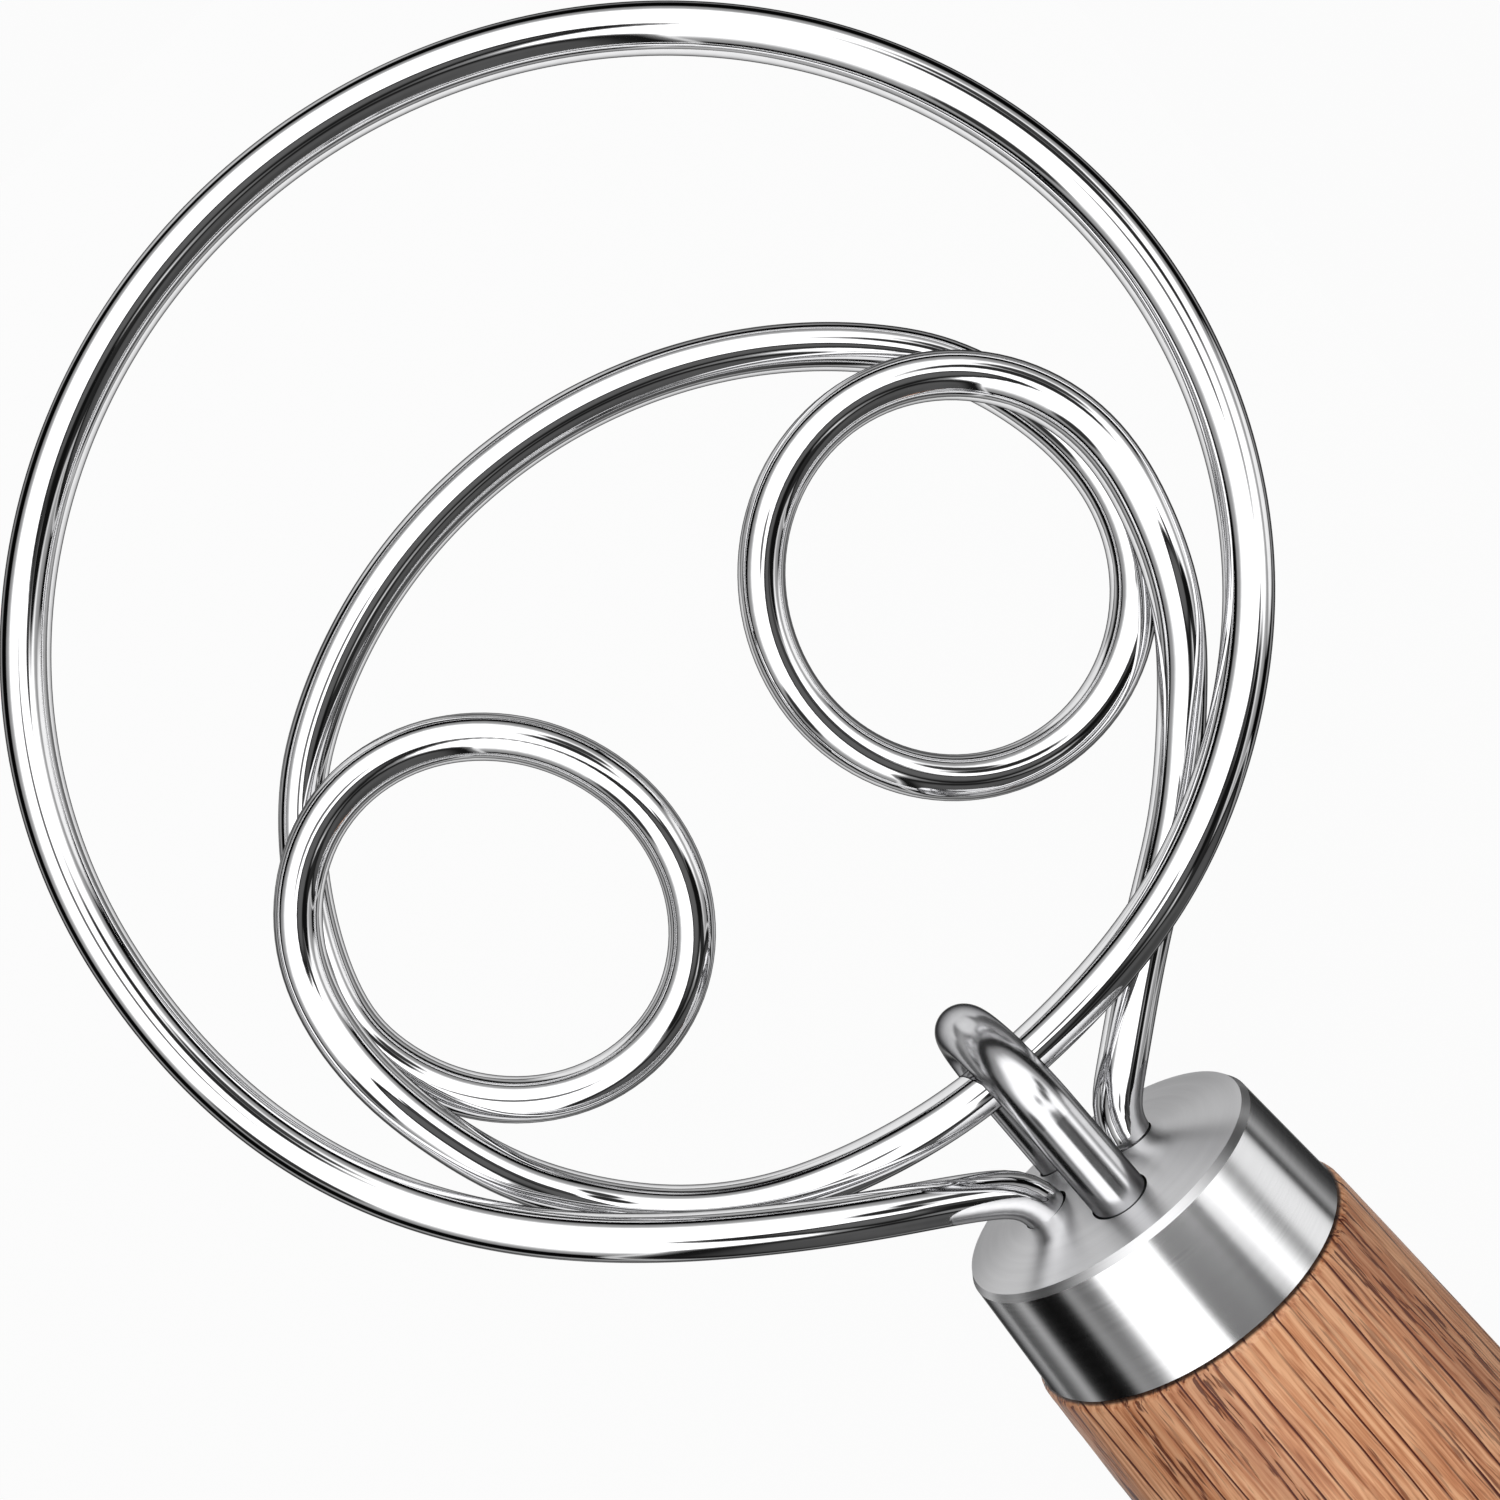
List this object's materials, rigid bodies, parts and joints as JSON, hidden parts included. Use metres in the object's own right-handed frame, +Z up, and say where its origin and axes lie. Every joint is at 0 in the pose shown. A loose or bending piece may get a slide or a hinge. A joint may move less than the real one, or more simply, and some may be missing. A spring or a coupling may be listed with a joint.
{
  "type": "dough whisk",
  "caption": "Dough whisk: a bent steel wire head with an outer ring, an inner loop and two eyes, on a turned wooden handle.",
  "frame": {"origin": "middle of the bounding box, on the plane under the handle's thickest part", "axes": "+X along the handle towards the head's tip, +Z up, square to the flat head"},
  "size_m": [0.3401, 0.1114, 0.034],
  "materials": {
    "oak": "oiled",
    "ferrule_steel": "brushed",
    "wire_steel": "polished",
    "staple_steel": "satin"
  },
  "bodies": {
    "root": {"handle": "oak", "ferrule": "ferrule_steel", "whisk_wire": "wire_steel", "staple": "staple_steel"}
  },
  "joints": []
}
